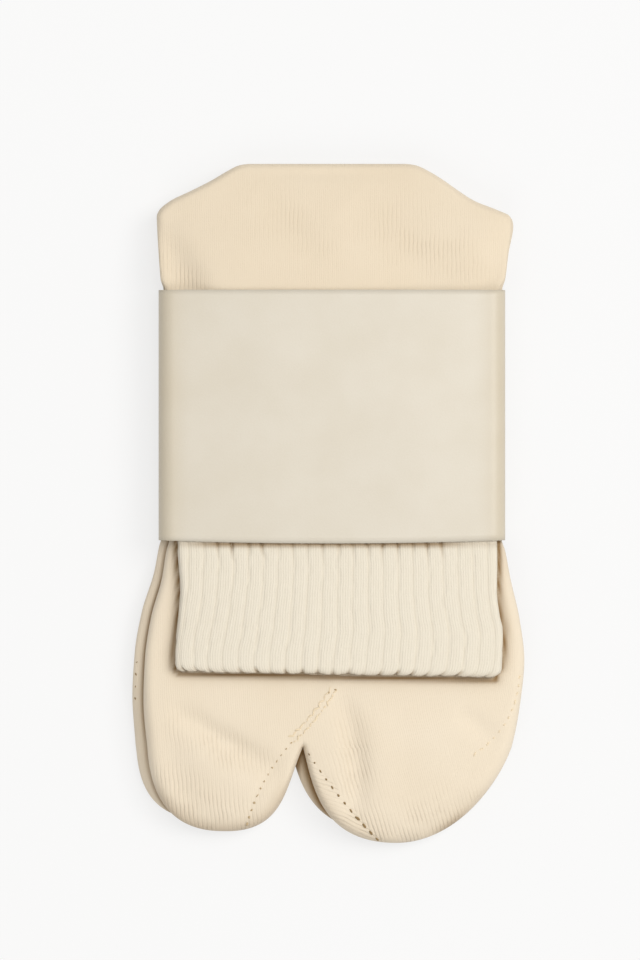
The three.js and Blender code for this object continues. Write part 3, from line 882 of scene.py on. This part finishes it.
def rib_knit():
    """Rib: three columns of V stitches to a ridge. The UV map counts ribs across, and millimetres along."""
    made = Finish("rib_knit", Roughness=0.92, Sheen_Weight=0.15, Sheen_Roughness=0.5, Specular_IOR_Level=0.2)
    measure = made.measure()
    across_ribs, along_ribs = measure.axis(0), measure.axis(1)
    wander = made.noise(measure, 3.0) - 0.5
    in_groove = 1 - abs(across_ribs.wrapped() - 0.5).eased(0.36, 0.48)
    u = across_ribs * 3 + wander * 0.3
    off = abs(u.wrapped() - 0.5)
    height = v_stitches(off, along_ribs)
    fuzz = made.noise(measure, 0.4, 3.0)
    stretch = made.node("ShaderNodeVectorMath", {"operation": "MULTIPLY"}, {0: measure, 1: (2.5, 0.16, 1)})
    streak = made.noise(stretch, 0.6, 2.0)
    tone = 0.38 + height * 0.12 + fuzz * 0.16 + streak * 0.25 + in_groove * 0.12
    # Painted shade: the mark "close" darkens the colour towards the shade tone
    close = made.mark("close")
    clean = made.blend(tone, colour(201, 190, 169), colour(220, 213, 198))
    made.feed("Base Color", made.blend(close, clean, PAINTED_SHADE_TONE))
    made.raise_by(height * 0.5 + fuzz * 0.25 + streak * 0.5, 0.00016)
    return made


RIB = rib_knit()
for side, lower in (("left", False), ("right", True)):
    made = cuff(side + "_cuff_cloth", lower)
    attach(made, "root")
    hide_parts(side + "_cuff")
    rests = "left_sock_cloth" if side == "left" else "floor"

# ---------------------------------------------------------------- the seams
# The toes are closed by linking; its shaded gaps show as dashes sunk in the seam, threads whose dark colour
# is painted shade. Between the toes, cream thread crosses the gusset. Each run of stitches is one short
# thread, laid again and again.


STITCH = ("Pitch", "Length", "Thickness", "Turn", "Unevenness", "Growth", "Seed")


def stitch_tree():
    """Lays threads along a line of points."""
    tree = bpy.data.node_groups.new("stitches", "GeometryNodeTree")
    sizes = {name: "Float" for name in STITCH[:-1]}
    for name, kind in {"Seam": "Geometry", **sizes, "Seed": "Int", "Thread": "Material"}.items():
        tree.interface.new_socket(name, in_out="INPUT", socket_type="NodeSocket" + kind)
    tree.interface.new_socket("Stitches", in_out="OUTPUT", socket_type="NodeSocketGeometry")
    given = tree.nodes.new("NodeGroupInput").outputs

    def node(kind, settings, links, output=0):
        made = tree.nodes.new(kind)
        for name, value in settings.items():
            setattr(made, name, value)
        for name, value in links.items():
            if isinstance(value, bpy.types.NodeSocket):
                tree.links.new(value, made.inputs[name])
            else:
                made.inputs[name].default_value = value
        return made.outputs[output]

    def maths(operation, first, second):
        return node("ShaderNodeMath", {"operation": operation}, {0: first, 1: second})

    def chance(low, high, kind_seed):
        seed = maths("ADD", given["Seed"], kind_seed)
        links = {2: low, 3: high, "Seed": seed}
        return node("FunctionNodeRandomValue", {"data_type": "FLOAT"}, links, 1)

    uneven = given["Unevenness"]
    less = maths("SUBTRACT", 1.0, uneven)
    more = maths("ADD", 1.0, uneven)
    curve = node("GeometryNodeMeshToCurve", {}, {0: given["Seam"]})
    links = {"Curve": curve, "Length": given["Pitch"]}
    even = node("GeometryNodeResampleCurve", {"mode": "LENGTH"}, links)
    ball = node("GeometryNodeMeshUVSphere", {}, {"Segments": 10, "Rings": 7, "Radius": 0.5})
    thread = node("GeometryNodeSetShadeSmooth", {}, {0: ball})
    run_on = maths("SUBTRACT", node("GeometryNodeSplineParameter", {}, {}), 0.5)
    grown = maths("ADD", maths("MULTIPLY", given["Growth"], run_on), 1.0)
    size = node("ShaderNodeCombineXYZ", {}, {
        0: maths("MULTIPLY", maths("MULTIPLY", given["Length"], grown), chance(less, more, 1)),
        1: maths("MULTIPLY", maths("MULTIPLY", given["Thickness"], grown), chance(less, more, 2)),
        2: given["Thickness"],
    })
    tangent = node("GeometryNodeInputTangent", {}, {})
    along = node("FunctionNodeAlignRotationToVector", {"axis": "X"}, {"Vector": tangent})
    odd = maths("MODULO", node("GeometryNodeInputIndex", {}, {}), 2.0)
    swing = maths("MULTIPLY", given["Turn"], maths("SUBTRACT", maths("MULTIPLY", odd, 2.0), 1.0))
    loose = maths("MULTIPLY", uneven, chance(-0.8, 0.8, 3))
    turn = node("ShaderNodeCombineXYZ", {}, {2: maths("ADD", swing, loose)})
    twist = node("FunctionNodeEulerToRotation", {}, {0: turn})
    turned = node("FunctionNodeRotateRotation", {"rotation_space": "LOCAL"}, {0: along, 1: twist})
    links = {"Points": even, "Instance": thread, "Rotation": turned, "Scale": size}
    threads = node("GeometryNodeInstanceOnPoints", {}, links)
    real = node("GeometryNodeRealizeInstances", {}, {0: threads})
    links = {"Geometry": real, "Material": given["Thread"]}
    finished = node("GeometryNodeSetMaterial", {}, links)
    tree.links.new(finished, tree.nodes.new("NodeGroupOutput").inputs[0])
    return tree


STITCHES = stitch_tree()


def stitched(name, seams, thread, sizes):
    """One piece of thread work: every seam is a line of points."""
    values = dict(zip(STITCH, sizes), Thread=thread.material)
    for length in ("Pitch", "Length", "Thickness"):
        values[length] *= MM
    mesh = bpy.data.meshes.new(name)
    points = np.concatenate(seams) * MM
    edges, start = [], 0
    for seam in seams:
        edges += [(i, i + 1) for i in range(start, start + len(seam) - 1)]
        start += len(seam)
    mesh.from_pydata(points.tolist(), edges, [])
    line = shown(name + "_line", mesh)
    work = line.modifiers.new("stitches", "NODES")
    work.node_group = STITCHES
    for item in STITCHES.interface.items_tree:
        if item.name in values:
            work[item.identifier] = values[item.name]
    evaluated = line.evaluated_get(bpy.context.evaluated_depsgraph_get())
    threads = bpy.data.meshes.new_from_object(evaluated)
    line.modifiers.clear()
    bpy.data.objects.remove(line)
    threads.name = name
    return shown(name, threads)


def thread_finish(name, light, dark):
    """Twisted sewing thread."""
    made = Finish(name, Roughness=0.8, Specular_IOR_Level=0.25)
    place = made.place()
    lay = made.noise(place, 0.0004, 2.0)
    made.feed("Base Color", made.blend(lay, dark, light))
    made.raise_by(lay, 0.00005)
    return made


LOWEST = 0.24  # the lower sock's threads don't reach the ground


def on_instep(line, lower, lift):
    """A line on the plan, laid on the instep's outer face."""
    points = raised(line[None], "instep", lower)[0]
    points[:, 2] = np.maximum(points[:, 2] - lift, LOWEST) if lower else points[:, 2] + lift
    return points


# The two darker threads' colours are painted shade: they stand for the shaded gaps between the linking
# stitches
SEAM_SHADE_THREAD = thread_finish("seam_shade_thread", colour(150, 126, 88), colour(112, 90, 56))
SUNK_SEAM_SHADE_THREAD = thread_finish("sunk_seam_shade_thread", colour(196, 176, 142), colour(152, 130, 96))
PALE_THREAD = thread_finish("pale_thread", colour(236, 222, 196), colour(205, 186, 152))
# The work on each sock: its lines, how far they lie off the cloth, and its thread, then its stitches' pitch,
# length, thickness, turn, unevenness, growth along the seam, and seed
THREAD_WORK = {
    "small_toes_linking": (
        [SEAMS["small_toes"]], 0.06, SEAM_SHADE_THREAD, (2.8, 1.25, 0.56, 0.0, 0.3, 0.9, 3)),
    "big_toe_linking": (
        [SEAMS["big_toe"]], 0.06, SUNK_SEAM_SHADE_THREAD, (2.3, 0.85, 0.5, 0.25, 0.4, 0.5, 5)),
    "gusset_crossing": (
        [(((2.2, -55.2), (-9.6, -69.8)), 0.6), (((0.6, -54.6), (-10.6, -68.2)), 0.6)],
        0.04, PALE_THREAD, (1.3, 1.5, 0.42, 0.5, 0.5, 0.0, 8)),
    "outer_closing": (
        [(((56.4, -51), (43.2, -73.5)), 3.2)], 0.05, PALE_THREAD, (2.4, 1.2, 0.4, 0.35, 0.35, 0.0, 12)),
    "gusset_end": (
        [(((2.4, -54.6), (0.4, -55.4)), 0.0)], 0.1, SUNK_SEAM_SHADE_THREAD, (1.7, 0.9, 0.5, 0.9, 0.2, 0.0, 17)),
}
for side, lower in (("left", False), ("right", True)):
    split = SOCK_PLANS[lower][2]
    for work, (lines, lift, thread, sizes) in THREAD_WORK.items():
        seams = [on_instep(seam_line(*line, split), lower, lift) for line in lines]
        made = stitched(f"{side}_{work}", seams, thread, sizes)
        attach(made, "root")

# A few specks of thread in the painted-shade colour show at the lower sock's edge, beside the upper one
EDGE_IN = 0.9
rows = np.linspace(-49, -60, 8)
edge_line = raised(np.stack([run(OUTLINE, "left", rows) + EDGE_IN, rows], -1)[None], "sole", True)[0]
edge_stitches = (3.3, 0.8, 0.34, 0.5, 0.45, 0.0, 21)
edge_seam = stitched("right_edge_closing", [edge_line], SEAM_SHADE_THREAD, edge_stitches)
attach(edge_seam, "root")

# ---------------------------------------------------------------- the paper band
# One strip of smooth cream card, bent round both socks and glued where its ends overlap underneath. Its lower
# edge bows a little, and it takes up soft dents from the cloth under it.

BAND = {"right": 52.2, "height": 17.4, "card": 0.3}
LAP = {"from": 10.0, "to": 24.0, "eased_to": 34.0, "gap": 0.05}
SHOULDER = {"round": 5.0, "pull": 0.4}
FOOT_BEND = {"round": 3.0, "pull": 0.45}
BAND_BOW = 0.9
BOWED_ABOVE = 8
DENTED_ABOVE = 12
BAND_ROWS = 42
BAND_FORMS = [
    ((-40, 10), (-20, 50), 4.0, 12.0, 0.15),
    ((30, 0), (42, 45), -3.0, 10.0, 0.12),
    ((-5, -8), (25, 12), 3.0, 9.0, 0.1),
]
FOLD_SHADE = {"from": 41, "to": 51, "share": 0.34}  # from the middle: painted shade, the card darker and browner where it bends down at its sides


def band_section():
    """The strip's outside, seen from the toes: from the end under the lap, round, and over that end again."""
    left, right = BAND_LEFT, BAND["right"]
    shoulder, foot = SHOULDER["round"], FOOT_BEND["round"]

    def over(x):
        return BAND["height"] * crown(x)

    def bend(start, corner, stop, pull):
        near = [np.array(corner) + (np.array(p) - corner) * pull for p in (start, stop)]
        return bezier((start, near[0], near[1], stop), np.linspace(0, 1, 15))

    under = np.linspace(LAP["from"], right - foot, 20)
    lift = (BAND["card"] + LAP["gap"]) * (1 - eased(LAP["to"], LAP["eased_to"], under))
    top = np.linspace(right - shoulder, left + shoulder, 60)
    high_right, high_left = over(right - shoulder), over(left + shoulder)
    pull = SHOULDER["pull"]
    return np.concatenate([
        np.stack([under, lift], -1),
        bend((right - foot, 0), (right, 0), (right, foot), FOOT_BEND["pull"])[1:],
        bend((right, high_right - shoulder), (right, high_right), (right - shoulder, high_right), pull),
        np.stack([top, over(top)], -1)[1:-1],
        bend((left + shoulder, high_left), (left, high_left), (left, high_left - shoulder), pull),
        bend((left, foot), (left, 0), (left + foot, 0), FOOT_BEND["pull"]),
        np.stack([np.linspace(left + foot, LAP["to"], 30), np.zeros(30)], -1)[1:],
    ])


def card_finish():
    """Uncoated card: fine fibres, a little cloudy, with a soft gloss, and painted shade at its sides."""
    made = Finish("card", Roughness=0.4, Specular_IOR_Level=0.5)
    measure = made.measure()
    cloud = made.noise(measure, 14.0, 3.0)
    fibre = made.noise(measure, 0.5, 5.0)
    tone = (cloud * 0.6 + fibre * 0.4).eased(0.25, 0.75)
    # Painted shade: darker and browner towards both sides, where the card bends down
    from_middle = abs(made.place().axis(0) / MM - CROWN["middle"])
    fold = from_middle.eased(FOLD_SHADE["from"], FOLD_SHADE["to"]) * FOLD_SHADE["share"]
    card_tone = made.blend(tone, colour(199, 191, 175), colour(204, 197, 183))
    made.feed("Base Color", made.blend(fold, card_tone, colour(176, 158, 122)))
    made.feed("Roughness", 0.36 + fibre * 0.1)
    made.raise_by(fibre * 0.6 + cloud * 0.4, 0.00003)
    return made


section = band_section()
x, z = section[:, 0], section[:, 1]
rows = np.linspace(0, 1, BAND_ROWS)
bow = 1 - ((x - CROWN["middle"]) / CROWN["half"]) ** 2
low_edge = BAND_LOW + BAND_BOW * (0.5 - bow * (z > BOWED_ABOVE))
grid = np.zeros((BAND_ROWS, len(section), 3))
grid[..., 0] = x[None] + SHIFT
grid[..., 1] = low_edge[None] * (1 - rows)[:, None] + BAND_HIGH * rows[:, None]
grid[..., 2] = z[None]
grid[..., 2] -= forms(grid[..., :2], BAND_FORMS) * (z > DENTED_ABOVE)[None]
measure = np.stack([lengths(grid, 1), grid[..., 1]], -1)
strip = Cloth()
strip.add(grid, measure)
band = strip.finished("paper_band_card", card_finish())
card = band.modifiers.new("card", "SOLIDIFY")
card.thickness = BAND["card"] * MM
card.offset = -1
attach(band, "root")
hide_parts("paper_band")
